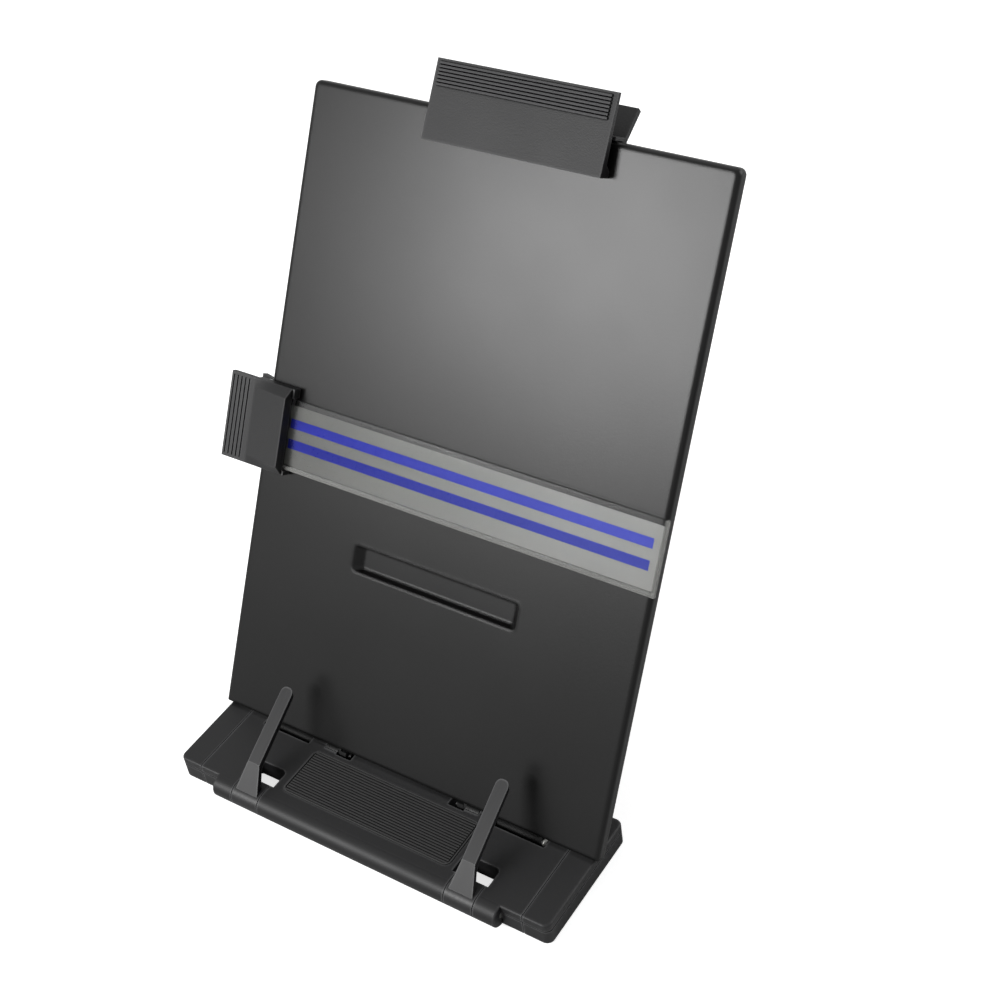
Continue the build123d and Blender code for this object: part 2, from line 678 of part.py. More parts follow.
# ---------------------------------------------------------------- panel
# One folded sheet: three flanges turned back, square at the foot, and a recess pressed into it.
recess_spot = (0, recess_bottom + recess_height / 2)
with BuildPart() as panel_inside:
    with BuildSketch(face_plane(-sheet)):
        with Locations((0, (panel_height - sheet) / 2 - bend_radius)):
            Rectangle(panel_width - 2 * sheet, panel_height - sheet + 2 * bend_radius)
    extrude(amount=-flange_depth)
    corners = panel_inside.edges().filter_by(lambda e: abs((e @ 1 - e @ 0).normalized().dot(lean_out)) > 0.99)
    fillet(corners.sort_by(Axis.Z)[-2:], radius=panel_corner - sheet)
    rim = panel_inside.faces().sort_by(Axis(panel_foot, lean_out))[-1].edges()
    fillet(rim.sort_by(Axis.Z)[1:], radius=bend_radius - sheet)
with BuildPart() as panel:
    with BuildSketch(face_plane()):
        with Locations((0, panel_height / 2)):
            Rectangle(panel_width, panel_height)
    extrude(amount=-flange_depth)
    corners = panel.edges().filter_by(lambda e: abs((e @ 1 - e @ 0).normalized().dot(lean_out)) > 0.99)
    fillet(corners.sort_by(Axis.Z)[-2:], radius=panel_corner)
    rim = panel.faces().sort_by(Axis(panel_foot, lean_out))[-1].edges()
    fillet(rim.sort_by(Axis.Z)[1:], radius=bend_radius)
    add(panel_inside.part, mode=Mode.SUBTRACT)
    for grow, near, far, mode in ((sheet, -sheet / 2, -recess_depth - sheet, Mode.ADD),
                                  (0, 0, -recess_depth, Mode.SUBTRACT)):
        with BuildSketch(face_plane(near)):
            with Locations(recess_spot):
                RectangleRounded(recess_length + 2 * grow, recess_height + 2 * grow, 1.6 + grow)
        with BuildSketch(face_plane(far)):
            with Locations(recess_spot):
                RectangleRounded(recess_length - 2 * recess_end_slope + 2 * grow,
                                 recess_height - 2 * recess_wall_slope + 2 * grow, 1.6 + grow)
        loft(mode=mode)
write(panel.part, "panel")

# ---------------------------------------------------------------- prop: bracket, leg, pin and foot
bracket_off = -recess_depth - sheet
web_low = recess_bottom + recess_wall_slope
web_high = recess_bottom + recess_height - recess_wall_slope
with BuildPart() as prop_bracket:
    with BuildSketch(side_plane(-bracket_half)):
        with Locations(((web_low + web_high) / 2, bracket_off - bracket_thick / 2)):
            Rectangle(web_high - web_low, bracket_thick)
    extrude(amount=2 * bracket_half)
    for x in (-bracket_half, bracket_half - bracket_thick):
        with BuildSketch(side_plane(x)):
            with Locations((pivot_up, -pivot_behind)):
                Circle(bracket_ear_radius)
            with Locations(((web_low + web_high) / 2, bracket_off - bracket_thick / 2)):
                Rectangle(web_high - web_low, bracket_thick)
            make_hull()
        extrude(amount=bracket_thick)
    with BuildSketch(side_plane(-bracket_half)):
        with Locations((pivot_up, -pivot_behind)):
            Circle(prop_pin_size / 2 + seat_fit)
    extrude(amount=2 * bracket_half, mode=Mode.SUBTRACT)
write(prop_bracket.part, "prop_bracket")

with BuildPart() as prop_pin:
    with BuildSketch(side_plane(-bracket_half - 1)):
        with Locations((pivot_up, -pivot_behind)):
            Circle(prop_pin_size / 2)
    extrude(amount=2 * bracket_half + 2)
    chamfer(prop_pin.edges().filter_by(GeomType.CIRCLE), 0.4)
write(prop_pin.part, "prop_pin")

foot_spot = Vector(0, leg_foot_y, foot_radius)
leg_run = foot_spot - pivot_point
leg_length = leg_run.length
leg_along = leg_run.normalized()
leg_plane = Plane(origin=pivot_point, x_dir=(1, 0, 0), z_dir=Vector(1, 0, 0).cross(leg_along))
leg_hub = pivot_behind + bracket_off - bracket_thick - face_gap
with BuildPart() as prop_leg:
    with BuildSketch(leg_plane.offset(-leg_thick / 2)):
        with Locations((0, (leg_length - foot_radius) / 2)):
            Rectangle(2 * leg_half, leg_length - foot_radius)
        with Locations((0, leg_length - leg_window_up - leg_window_height / 2)):
            RectangleRounded(leg_window_width, leg_window_height, leg_window_corner, mode=Mode.SUBTRACT)
    extrude(amount=leg_thick)
    pocket_width = (2 * leg_half - (leg_columns + 1) * leg_rib) / leg_columns
    pocket_rows = leg_length - foot_radius - leg_hub - leg_window_height - leg_window_up - 2 * leg_rib
    with BuildSketch(leg_plane.offset(leg_thick / 2)):
        with Locations((0, leg_hub + leg_rib + pocket_rows / 2)):
            with GridLocations(pocket_width + leg_rib, pocket_rows / 2, leg_columns, 2):
                Rectangle(pocket_width, pocket_rows / 2 - leg_rib)
    extrude(amount=leg_skin - leg_thick, mode=Mode.SUBTRACT)
    rod_x(pivot_point.Y, pivot_point.Z, leg_hub, -leg_half, leg_half)
    # tongue that the rubber foot is pushed over
    with BuildSketch(leg_plane.offset(-leg_skin / 2)):
        with Locations((0, leg_length - foot_radius)):
            Rectangle(2 * (leg_half - foot_tongue_in), 2 * foot_radius - foot_wall)
    extrude(amount=leg_skin)
    rod_x(pivot_point.Y, pivot_point.Z, prop_pin_size / 2 + pin_fit, -leg_half, leg_half, Mode.SUBTRACT)
write(prop_leg.part, "prop_leg")

with BuildPart() as prop_foot:
    rod_x(foot_spot.Y, foot_spot.Z, foot_radius, -leg_half, leg_half)
    with BuildSketch(leg_plane.offset(-leg_thick)):
        with Locations((0, leg_length - 2 * foot_radius)):
            Rectangle(3 * leg_half, 2 * foot_radius + 2 * seat_fit)
    extrude(amount=2 * leg_thick, mode=Mode.SUBTRACT)
    with BuildSketch(leg_plane.offset(-leg_skin / 2)):
        with Locations((0, leg_length - foot_radius)):
            Rectangle(2 * (leg_half - foot_tongue_in), 2 * foot_radius - foot_wall)
    extrude(amount=leg_skin, mode=Mode.SUBTRACT)
write(prop_foot.part, "prop_foot")


# ---------------------------------------------------------------- squeeze clips
def top_edge_plane(x=0.0):
    """Across the panel's top edge: its x runs outward past the edge, its y out of the face."""
    return Plane(origin=panel_foot + lean_up * panel_height + Vector(x, 0, 0), x_dir=lean_up, z_dir=(1, 0, 0))


def left_edge_plane(h=0.0):
    """The same across the panel's left edge, h mm up it."""
    corner = panel_foot + lean_up * h - Vector(panel_width / 2, 0, 0)
    return Plane(origin=corner, x_dir=(-1, 0, 0), z_dir=lean_up)


def clip_body(edge_plane, start, length, set_in, handle, pivot, bore):
    """Rear half of a clip: handle, web past the edge, hook behind the flange and two cheeks."""
    root = Vector(jaw_gap, -jaw_behind)
    tip = Vector(*handle)
    run = (tip - root).normalized()
    skin = Vector(-run.Y, run.X) * jaw_skin
    behind_flange = -flange_depth - jaw_gap
    shelf = jaw_gap + jaw_web
    inner_tip = tip + skin
    inner_root = root + skin + run * (shelf - root.X - skin.X) / run.X
    with BuildPart() as body:
        with BuildSketch(edge_plane(start)):
            polygon([(tip.X, tip.Y), (root.X, root.Y), (-jaw_toe, -jaw_behind + jaw_toe_rise),
                     (-jaw_reach, -jaw_behind + jaw_tip_rise), (-jaw_reach, -sheet - jaw_gap),
                     (-jaw_step, -sheet - jaw_gap), (-jaw_root, behind_flange), (jaw_gap, behind_flange),
                     (jaw_gap, -jaw_front_gap), (shelf, -jaw_front_gap), (shelf, inner_root.Y),
                     (inner_tip.X, inner_tip.Y)])
        extrude(amount=length)
        for near in (start + set_in, start + length - set_in - cheek_thick):
            with BuildSketch(edge_plane(near)):
                with Locations(pivot):
                    Circle(pivot[0] - shelf - face_gap)
                with Locations((pivot[0] - 0.5, inner_root.Y + 0.5)):
                    Rectangle(2 * (pivot[0] - shelf) - 1, 1)
                make_hull()
            extrude(amount=cheek_thick)
        with BuildSketch(edge_plane(start)):
            with Locations(pivot):
                Circle(bore)
        extrude(amount=length, mode=Mode.SUBTRACT)
    return body.part


def lever_lugs(edge_plane, spots, pivot, plate_off, bore):
    """Two lugs that carry a clip's front half on the rod."""
    with BuildPart() as lugs:
        for near in spots:
            with BuildSketch(edge_plane(near)):
                with Locations(pivot):
                    Circle(pivot[0] - jaw_gap - jaw_web - face_gap)
                with Locations((pivot[0], plate_off)):
                    Rectangle(2 * (pivot[0] - jaw_gap - jaw_web - face_gap), 1)
                make_hull()
                with Locations(pivot):
                    Circle(bore, mode=Mode.SUBTRACT)
            extrude(amount=lug_thick)
    return lugs.part


clip_left = clip_middle - clip_width / 2
clip_pivot = (clip_pivot_out, clip_pivot_off)
rod_bore = rod_size / 2 + pin_fit
clip_rear = clip_body(top_edge_plane, clip_left, clip_width, clip_cheek_set_in, clip_handle, clip_pivot, rod_bore)
write(clip_rear, "clip_rear")

with BuildPart() as clip_front:
    with BuildSketch(top_edge_plane(clip_left)):
        polygon([(clip_top_above, clip_top_off), (-clip_lip_below, clip_lip_off), (-clip_lip_below, face_gap),
                 (clip_lip_deep - clip_lip_below, face_gap),
                 (clip_lip_deep + clip_lip_slope - clip_lip_below, clip_mid_off), (clip_pivot_out, clip_mid_off),
                 (clip_top_above, clip_top_off - clip_plate_thick)])
    extrude(amount=clip_width)
    # grip ribs with rounded ends
    slope = atan2(clip_lip_off - clip_top_off, clip_top_above + clip_lip_below)
    rib_plane = Plane(origin=panel_foot + lean_up * (panel_height + clip_top_above) + lean_out * clip_top_off,
                      x_dir=(1, 0, 0), z_dir=lean_out * cos(slope) + lean_up * sin(slope))
    with BuildSketch(rib_plane):
        with Locations(((clip_rib_left + clip_rib_right) / 2,
                        -clip_rib_set_in - clip_rib_pitch * (clip_rib_count - 1) / 2)):
            with GridLocations(1, clip_rib_pitch, 1, clip_rib_count):
                Rectangle(clip_rib_right - clip_rib_left, clip_rib_width)
    extrude(amount=clip_rib_height)
    lug_in = clip_cheek_set_in + cheek_thick + face_gap
    lug_spots = (clip_left + lug_in, clip_left + clip_width - lug_in - lug_thick)
    add(lever_lugs(top_edge_plane, lug_spots, clip_pivot, clip_mid_off, rod_bore))
write(clip_front.part, "clip_front")

with BuildPart() as clip_pin:
    with BuildSketch(top_edge_plane(clip_left + clip_cheek_set_in)):
        with Locations(clip_pivot):
            Circle(rod_size / 2)
    extrude(amount=clip_width - 2 * clip_cheek_set_in)
write(clip_pin.part, "clip_pin")

clip_spring_plane = Plane(origin=top_edge_plane(clip_middle).from_local_coords((*clip_pivot, 0)),
                          x_dir=lean_up, z_dir=(1, 0, 0))
clip_spring = torsion_spring(clip_spring_plane, spring_wire, spring_radius, spring_turns, spring_wire + coil_gap,
                             clip_rear_leg, clip_front_leg, spring_leg)
write(clip_spring, "clip_spring")

# ---------------------------------------------------------------- slider of the line guide
slider_top = slider_bottom + slider_height
slider_pivot = (slider_pivot_out, slider_pivot_off)
slider_rear = clip_body(left_edge_plane, slider_rear_bottom, slider_rear_height, slider_cheek_set_in,
                        slider_handle, slider_pivot, rod_bore)
write(slider_rear, "slider_rear")

with BuildPart() as slider_front:
    with BuildSketch(left_edge_plane(slider_bottom)):
        polygon([(slider_grip_out, slider_grip_off), (slider_grip_out, slider_plate_off),
                 (-slider_arm_in, slider_plate_off), (-slider_arm_in, slider_under_off),
                 (slider_box_out, slider_under_off), (slider_box_out, slider_grip_off)])
    extrude(amount=slider_height)
    # box that rises from the grip towards the ruler
    for x, off in ((slider_box_left, slider_box_low_off), (slider_box_right, slider_box_off)):
        with BuildSketch(side_plane(x)):
            polygon([(slider_bottom, slider_grip_off), (slider_top, slider_grip_off), (slider_top, slider_plate_off),
                     (slider_top - slider_bevel, off), (slider_bottom + slider_bevel, off),
                     (slider_bottom, slider_plate_off)])
    loft()
    # mouth between the two arms, and the pocket that holds the end of the ruler
    with BuildSketch(face_plane()):
        with Locations(((slider_box_right + slider_arm_x) / 2, ruler_bottom + ruler_height / 2)):
            Rectangle(slider_arm_x - slider_box_right, ruler_height + 2 * slider_mouth_gap)
    extrude(amount=2 * slider_box_off, mode=Mode.SUBTRACT)
    with BuildSketch(face_plane(ruler_rear - stripe_thick - seat_fit)):
        with Locations(((ruler_left - seat_fit + slider_arm_x) / 2, ruler_bottom + ruler_height / 2)):
            Rectangle(slider_arm_x - ruler_left + seat_fit, ruler_height + 2 * seat_fit)
    extrude(amount=ruler_thick + stripe_thick + 2 * seat_fit, mode=Mode.SUBTRACT)
    # upright grip grooves
    with BuildSketch(face_plane(slider_plate_off)):
        with Locations((slider_grip_x + slider_groove_in, slider_bottom + slider_height / 2)):
            with GridLocations(slider_groove_pitch, 1, slider_groove_count, 1):
                Rectangle(slider_groove_width, slider_height - 2 * slider_groove_end)
    extrude(amount=-slider_groove_deep, mode=Mode.SUBTRACT)
    slider_lugs = (slider_rear_bottom + cheek_thick + face_gap,
                   slider_rear_bottom + slider_rear_height - cheek_thick - face_gap - lug_thick)
    add(lever_lugs(left_edge_plane, slider_lugs, slider_pivot, slider_grip_off + slider_groove_deep, rod_bore))
write(slider_front.part, "slider_front")

with BuildPart() as slider_pin:
    with BuildSketch(left_edge_plane(slider_rear_bottom)):
        with Locations(slider_pivot):
            Circle(rod_size / 2)
    extrude(amount=slider_rear_height + slider_pin_out)
    chamfer(slider_pin.edges().filter_by(GeomType.CIRCLE), face_gap)
write(slider_pin.part, "slider_pin")

slider_middle = slider_rear_bottom + slider_rear_height / 2
slider_spring_plane = Plane(origin=left_edge_plane(slider_middle).from_local_coords((*slider_pivot, 0)),
                            x_dir=(-1, 0, 0), z_dir=lean_up)
slider_spring = torsion_spring(slider_spring_plane, slider_wire, slider_coil_radius, spring_turns,
                               slider_wire + coil_gap, slider_rear_leg, slider_front_leg, spring_leg)
write(slider_spring, "slider_spring")

# ---------------------------------------------------------------- clear ruler and its two stripes
ruler_face = ruler_rear + ruler_thick
ruler_top = ruler_bottom + ruler_height
with BuildPart() as ruler:
    with BuildSketch(side_plane(ruler_left)):
        polygon([(ruler_bottom, ruler_rear), (ruler_bottom, ruler_face - ruler_bevel_deep),
                 (ruler_bottom + ruler_low_bevel, ruler_face), (ruler_top - ruler_bevel, ruler_face),
                 (ruler_top, ruler_face - ruler_bevel_deep), (ruler_top, ruler_rear)])
    extrude(amount=ruler_right - ruler_left)
    with BuildSketch(across_plane(ruler_bottom)):
        polygon([(ruler_right - ruler_bevel, ruler_face), (ruler_right, ruler_face - ruler_bevel_deep),
                 (ruler_right + 1, ruler_face + 1)])
    extrude(amount=-ruler_height, mode=Mode.SUBTRACT)
write(ruler.part, "ruler")

with BuildPart() as guide_stripes:
    for height in stripe_heights:
        with BuildSketch(face_plane(ruler_rear - stripe_thick)):
            with Locations(((slider_box_right + stripe_right) / 2, height)):
                Rectangle(stripe_right - slider_box_right, stripe_width)
        extrude(amount=stripe_thick)
write(guide_stripes.part, "guide_stripes")
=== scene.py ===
import math
import bpy
from mathutils import Matrix, Vector


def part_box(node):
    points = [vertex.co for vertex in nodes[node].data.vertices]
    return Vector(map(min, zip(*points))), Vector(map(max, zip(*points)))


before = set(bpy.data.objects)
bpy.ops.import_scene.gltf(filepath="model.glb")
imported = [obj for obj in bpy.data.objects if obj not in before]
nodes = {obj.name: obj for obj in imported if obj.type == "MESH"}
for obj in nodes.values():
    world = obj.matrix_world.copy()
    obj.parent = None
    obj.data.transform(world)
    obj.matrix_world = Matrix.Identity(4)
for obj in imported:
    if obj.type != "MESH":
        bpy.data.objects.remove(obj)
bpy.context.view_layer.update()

bpy.ops.object.select_all(action="DESELECT")

# ------------------------------------------------------------------ camera
# A long standard lens above the right front of the holder, rolled a little to the left. Its
# place and its directions were fitted to the photograph, in the holder's frame, in metres.
picture_width = 1000
focal_pixels = 1741.17
sensor_mm = 36.0
nearest, farthest = 0.01, 20.0
camera_spot = Vector((0.3824, -0.36875, 0.6211))
camera_right = Vector((0.83357, 0.53984, -0.11668)).normalized()
camera_back = Vector((0.47602, -0.59498, 0.64764)).normalized()
camera_up = camera_back.cross(camera_right).normalized()
camera_right = camera_up.cross(camera_back)

camera_data = bpy.data.cameras.new("camera")
camera_data.sensor_width = sensor_mm
camera_data.sensor_fit = "HORIZONTAL"
camera_data.lens = focal_pixels / picture_width * sensor_mm
camera_data.clip_start = nearest
camera_data.clip_end = farthest
camera = bpy.data.objects.new("camera", camera_data)
bpy.context.scene.collection.objects.link(camera)
bpy.context.scene.camera = camera
turned = Matrix((camera_right, camera_up, camera_back)).transposed().to_4x4()
camera.matrix_world = Matrix.Translation(camera_spot) @ turned


# ------------------------------------------------------------------ world and floor
# White paper sweep: the camera, glass and gloss see plain white, and everything else sees
# an even grey that fills the shadows. The floor is the same paper, which keeps the holder's
# own soft shadow.
def linear(code):
    """An sRGB hex colour as linear light."""
    parts = [int(code[i:i + 2], 16) / 255 for i in (1, 3, 5)]
    return [p / 12.92 if p <= 0.04045 else ((p + 0.055) / 1.055) ** 2.4 for p in parts] + [1.0]


def node(tree, kind, settings=None, **inputs):
    """Adds a node, sets its properties and fills or links its inputs, by name or as _number."""
    made = tree.nodes.new(kind)
    for name, value in (settings or {}).items():
        setattr(made, name, value)
    for name, value in inputs.items():
        key = int(name[1:]) if name[0] == "_" else name.replace("_", " ")
        if isinstance(value, bpy.types.NodeSocket):
            tree.links.new(value, made.inputs[key])
        else:
            made.inputs[key].default_value = value
    return made


def bare(name):
    """A material with an empty tree, and the object's own coordinates for its patterns."""
    made = bpy.data.materials.new(name)
    made.use_nodes = True
    made.node_tree.nodes.clear()
    place = node(made.node_tree, "ShaderNodeTexCoord")
    return made, made.node_tree, place.outputs["Object"]


fill_level, paper_level = 0.22, 1.0
world = bpy.data.worlds.new("paper_sweep")
bpy.context.scene.world = world
world.use_nodes = True
sky = world.node_tree
sky.nodes.clear()
path = node(sky, "ShaderNodeLightPath")
seen = node(sky, "ShaderNodeMath", {"operation": "MAXIMUM"}, _0=path.outputs["Is Camera Ray"],
            _1=path.outputs["Is Transmission Ray"])
seen = node(sky, "ShaderNodeMath", {"operation": "MAXIMUM"}, _0=seen.outputs[0],
            _1=path.outputs["Is Glossy Ray"])
fill = node(sky, "ShaderNodeBackground", Color=linear("#ffffff"), Strength=fill_level)
paper = node(sky, "ShaderNodeBackground", Color=linear("#ffffff"), Strength=paper_level)
both = node(sky, "ShaderNodeMixShader", _0=seen.outputs[0], _1=fill.outputs[0],
            _2=paper.outputs[0])
node(sky, "ShaderNodeOutputWorld", Surface=both.outputs[0])

bpy.context.scene.view_settings.view_transform = "Standard"

floor_size, floor_height = 6.0, -0.0005
fibre_mm, fibre_rise = 6.7, 0.0001
paper_glow = 0.72
bpy.ops.mesh.primitive_plane_add(size=floor_size, location=(0, 0, floor_height))
floor = bpy.context.active_object
floor.name = "floor"
floor_finish, tree, place = bare("white_paper_floor")
path = node(tree, "ShaderNodeLightPath")
seen = node(tree, "ShaderNodeMath", {"operation": "MAXIMUM"}, _0=path.outputs["Is Camera Ray"],
            _1=path.outputs["Is Transmission Ray"])
fibre = node(tree, "ShaderNodeTexNoise", Vector=place, Scale=1000 / fibre_mm)
card_rise = node(tree, "ShaderNodeBump", Strength=0.05, Distance=fibre_rise,
                 Height=fibre.outputs[0])
card = node(tree, "ShaderNodeBsdfDiffuse", Color=linear("#e8e8e8"), Normal=card_rise.outputs[0])
lift = node(tree, "ShaderNodeEmission", Color=linear("#ffffff"), Strength=paper_glow)
lit = node(tree, "ShaderNodeAddShader", _0=card.outputs[0], _1=lift.outputs[0])
both = node(tree, "ShaderNodeMixShader", _0=seen.outputs[0], _1=card.outputs[0],
            _2=lit.outputs[0])
node(tree, "ShaderNodeOutputMaterial", Surface=both.outputs[0])
floor.data.materials.append(floor_finish)


# ------------------------------------------------------------------ soft boxes
# One box in front puts the pale sheen on the panel's upper right, where the panel mirrors it.
# A weak one overhead draws the edges, and one behind on the right lights the back.
def soft_box(name, spot, aim, width, height, watts):
    """A rectangular lamp at a spot, turned to face another."""
    lamp = bpy.data.lights.new(name, "AREA")
    lamp.shape = "RECTANGLE"
    lamp.size = width
    lamp.size_y = height
    lamp.energy = watts
    holder = bpy.data.objects.new(name, lamp)
    bpy.context.scene.collection.objects.link(holder)
    holder.location = spot
    facing = Vector(aim) - Vector(spot)
    holder.rotation_euler = facing.to_track_quat("-Z", "Y").to_euler()


soft_box("front_box", (-0.61, -1.13, 0.79), (0, 0.05, 0.15), 0.5, 0.42, 23)
soft_box("top_box", (-0.2, 0.6, 1.6), (0, 0.05, 0.1), 1.2, 0.8, 4)
soft_box("rear_box", (0.95, 1.0, 0.6), (0, 0.08, 0.1), 0.9, 0.8, 9)


# ------------------------------------------------------------------ base, barrel and end caps
# Injection-moulded ABS with a spark-eroded grain, satin black. The grain gives a wide soft
# sheen; corners are painted dark and dull as shade, edges paler as painted highlights. The real
# grain of about 0.15 mm is too fine to show, so it is drawn at 0.4 mm.
cloud_mm = 25.0
plastic_ior = 1.45


def wear(finish, *names):
    """Gives pieces of the frame a finish."""
    for name in names:
        mesh = nodes[name].data
        mesh.materials.clear()
        mesh.materials.append(finish)


def relief(tree, colour, highlight_code, gloss, reach_mm):
    """Colour and gloss: both are painted darker in corners as shade, and edges paler as
    highlights.
    """
    around = {"samples": 8, "only_local": True}
    # Painted shade: colour and gloss sink where ambient occlusion finds a corner or valley.
    painted_shade = node(tree, "ShaderNodeAmbientOcclusion", around, Distance=reach_mm / 1000)
    painted_shade = node(tree, "ShaderNodeMapRange", Value=painted_shade.outputs["AO"], From_Min=0.45,
                  From_Max=0.9)
    painted_shade_tone = node(tree, "ShaderNodeMix", {"data_type": "RGBA"}, _0=painted_shade.outputs[0],
                 _6=linear("#020202"), _7=colour)
    # Painted highlight: convex edges, found by occlusion inside the part, turn paler.
    edge_highlight_mask = node(tree, "ShaderNodeAmbientOcclusion", {**around, "inside": True},
                 Distance=reach_mm / 1000)
    edge_highlight_mask = node(tree, "ShaderNodeMapRange", Value=edge_highlight_mask.outputs["AO"], From_Min=0.95,
                 From_Max=0.5)
    lightened = node(tree, "ShaderNodeMix", {"data_type": "RGBA"}, _0=edge_highlight_mask.outputs[0],
                  _6=painted_shade_tone.outputs[2], _7=linear(highlight_code))
    shine = node(tree, "ShaderNodeMapRange", Value=painted_shade.outputs[0], To_Max=gloss)
    return lightened.outputs[2], shine.outputs[0]


def moulded(name, code, pale_code, highlight_code, roughness, grain_mm, grain_rise_mm, edge_mm):
    """Grained moulding: mottled colour and gloss, noise grain, soft edges."""
    made, tree, place = bare(name)
    grain = node(tree, "ShaderNodeTexNoise", Vector=place, Scale=1000 / grain_mm, Detail=2.0)
    cloud = node(tree, "ShaderNodeTexNoise", Vector=place, Scale=1000 / cloud_mm, Detail=3.0)
    tone = node(tree, "ShaderNodeMix", {"data_type": "RGBA"}, _0=cloud.outputs[0],
                _6=linear(code), _7=linear(pale_code))
    spread = node(tree, "ShaderNodeMapRange", Value=cloud.outputs[0], To_Min=roughness - 0.05,
                  To_Max=roughness + 0.05)
    edge = node(tree, "ShaderNodeBevel", {"samples": 6}, Radius=edge_mm / 1000)
    bump = node(tree, "ShaderNodeBump", Strength=0.6, Distance=grain_rise_mm / 1000,
                Height=grain.outputs[0], Normal=edge.outputs[0])
    tone, shine = relief(tree, tone.outputs[2], highlight_code, gloss=0.35, reach_mm=1.1)
    shade = node(tree, "ShaderNodeBsdfPrincipled", Base_Color=tone, Roughness=spread.outputs[0],
                 Normal=bump.outputs[0], Specular_IOR_Level=shine, IOR=plastic_ior)
    node(tree, "ShaderNodeOutputMaterial", Surface=shade.outputs[0])
    return made


moulding = moulded("abs_grained_black", "#0a0a0b", "#121213", "#464647", roughness=0.5,
                   grain_mm=0.4, grain_rise_mm=0.07, edge_mm=0.4)
wear(moulding, "base_body", "base_cover", "end_cap_left", "end_cap_right")

# ------------------------------------------------------------------ rest mat
# Soft black rubber moulded with fine ribs. A pale line is painted along each rib's crest as a
# painted highlight; the valleys stay matt.
rib_rise, rib_pitch, rib_crest = 0.00045, 0.0014, 0.0005
dust_mm = 1.43
mat_low, mat_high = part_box("rest_mat")
rubber, tree, place = bare("ribbed_rubber")
height = node(tree, "ShaderNodeSeparateXYZ", Vector=place)
dust = node(tree, "ShaderNodeTexNoise", Vector=place, Scale=1000 / dust_mm, Detail=3.0)
# Painted highlight: a pale band along the top of each rib's crest.
painted_crest_highlight = node(tree, "ShaderNodeMapRange", Value=height.outputs[2],
            From_Min=mat_high.z - rib_rise * 0.5, From_Max=mat_high.z - rib_rise * 0.1)
phase = node(tree, "ShaderNodeMath", {"operation": "SUBTRACT"}, _0=height.outputs[1],
             _1=(mat_low.y + mat_high.y) / 2)
crest = node(tree, "ShaderNodeMath", {"operation": "PINGPONG"}, _0=phase.outputs[0],
             _1=rib_pitch / 2)
crest = node(tree, "ShaderNodeMapRange", Value=crest.outputs[0], From_Min=rib_pitch / 2,
             From_Max=rib_pitch / 2 - rib_crest)
painted_crest_highlight = node(tree, "ShaderNodeMath", {"operation": "MULTIPLY"}, _0=painted_crest_highlight.outputs[0],
            _1=crest.outputs[0])
tone = node(tree, "ShaderNodeMix", {"data_type": "RGBA"}, _0=painted_crest_highlight.outputs[0],
            _6=linear("#060606"), _7=linear("#4c4c4c"))
spread = node(tree, "ShaderNodeMapRange", Value=dust.outputs[0], To_Min=0.55, To_Max=0.8)
edge = node(tree, "ShaderNodeBevel", {"samples": 6}, Radius=0.0002)
bump = node(tree, "ShaderNodeBump", Strength=0.4, Distance=0.00003, Height=dust.outputs[0],
            Normal=edge.outputs[0])
tone, shine = relief(tree, tone.outputs[2], "#3a3a3a", gloss=0.3, reach_mm=0.8)
shade = node(tree, "ShaderNodeBsdfPrincipled", Base_Color=tone, Roughness=spread.outputs[0],
             Normal=bump.outputs[0], Specular_IOR_Level=shine, IOR=plastic_ior)
node(tree, "ShaderNodeOutputMaterial", Surface=shade.outputs[0])
wear(rubber, "rest_mat")

# ------------------------------------------------------------------ pad and feet
# Sheet of foamed rubber glued under the cover, two rubber dots in front of it and the push-on
# sleeve at the prop's end: matt, open-grained and a little dusty.
foam = moulded("foamed_rubber", "#111111", "#1c1b1a", "#242322", roughness=0.85,
               grain_mm=0.6, grain_rise_mm=0.12, edge_mm=0.3)
wear(foam, "nonslip_pad", "front_feet", "prop_foot")

# ------------------------------------------------------------------ page fingers
# Unpainted ABS, polished along their length: a satin sheen with fine streaks that run up the
# finger, drawn at 0.7 mm because the real scratches are too fine to show.
streak_mm, streak_length_mm = 0.714, 11.1
streaked, tree, place = bare("abs_satin_streaked")
along = node(tree, "ShaderNodeMapping", Vector=place,
             Scale=(1000 / streak_mm, 1000 / streak_length_mm, 1000 / streak_length_mm))
streak = node(tree, "ShaderNodeTexNoise", Vector=along.outputs[0], Scale=1.0, Detail=2.0)
tone = node(tree, "ShaderNodeMix", {"data_type": "RGBA"}, _0=streak.outputs[0],
            _6=linear("#0b0b0c"), _7=linear("#1b1b1c"))
spread = node(tree, "ShaderNodeMapRange", Value=streak.outputs[0], To_Min=0.38, To_Max=0.52)
edge = node(tree, "ShaderNodeBevel", {"samples": 6}, Radius=0.0003)
bump = node(tree, "ShaderNodeBump", Strength=0.35, Distance=0.00004, Height=streak.outputs[0],
            Normal=edge.outputs[0])
tone, shine = relief(tree, tone.outputs[2], "#434344", gloss=0.4, reach_mm=0.8)
shade = node(tree, "ShaderNodeBsdfPrincipled", Base_Color=tone, Roughness=spread.outputs[0],
             Normal=bump.outputs[0], Specular_IOR_Level=shine, IOR=plastic_ior)
node(tree, "ShaderNodeOutputMaterial", Surface=shade.outputs[0])
wear(streaked, "finger_left", "finger_right")

